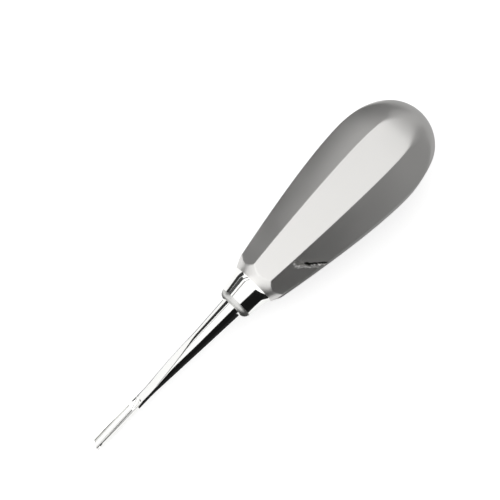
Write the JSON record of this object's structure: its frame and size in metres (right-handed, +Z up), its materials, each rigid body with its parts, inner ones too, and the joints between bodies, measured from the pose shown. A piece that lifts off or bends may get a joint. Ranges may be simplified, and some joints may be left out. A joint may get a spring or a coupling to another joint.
{
  "type": "dental elevator",
  "caption": "Hand instrument for loosening a tooth: hollow faceted pear handle with a domed butt, turned collar, tapered shank and a narrow gouge blade.",
  "frame": {"origin": "on the table, below the middle of the tool's bounding box as it lies at rest", "axes": "+X from the blade's tip towards the handle's butt, level with the table; +Z up; +Y across the tool"},
  "size_m": [0.1391, 0.0296, 0.0303],
  "materials": {
    "satin_steel": "bead-blasted satin stainless steel",
    "polished_steel": "mirror-polished stainless steel"
  },
  "bodies": {
    "root": {"handle": "satin_steel", "collar": "polished_steel", "blade": "polished_steel"}
  },
  "joints": []
}
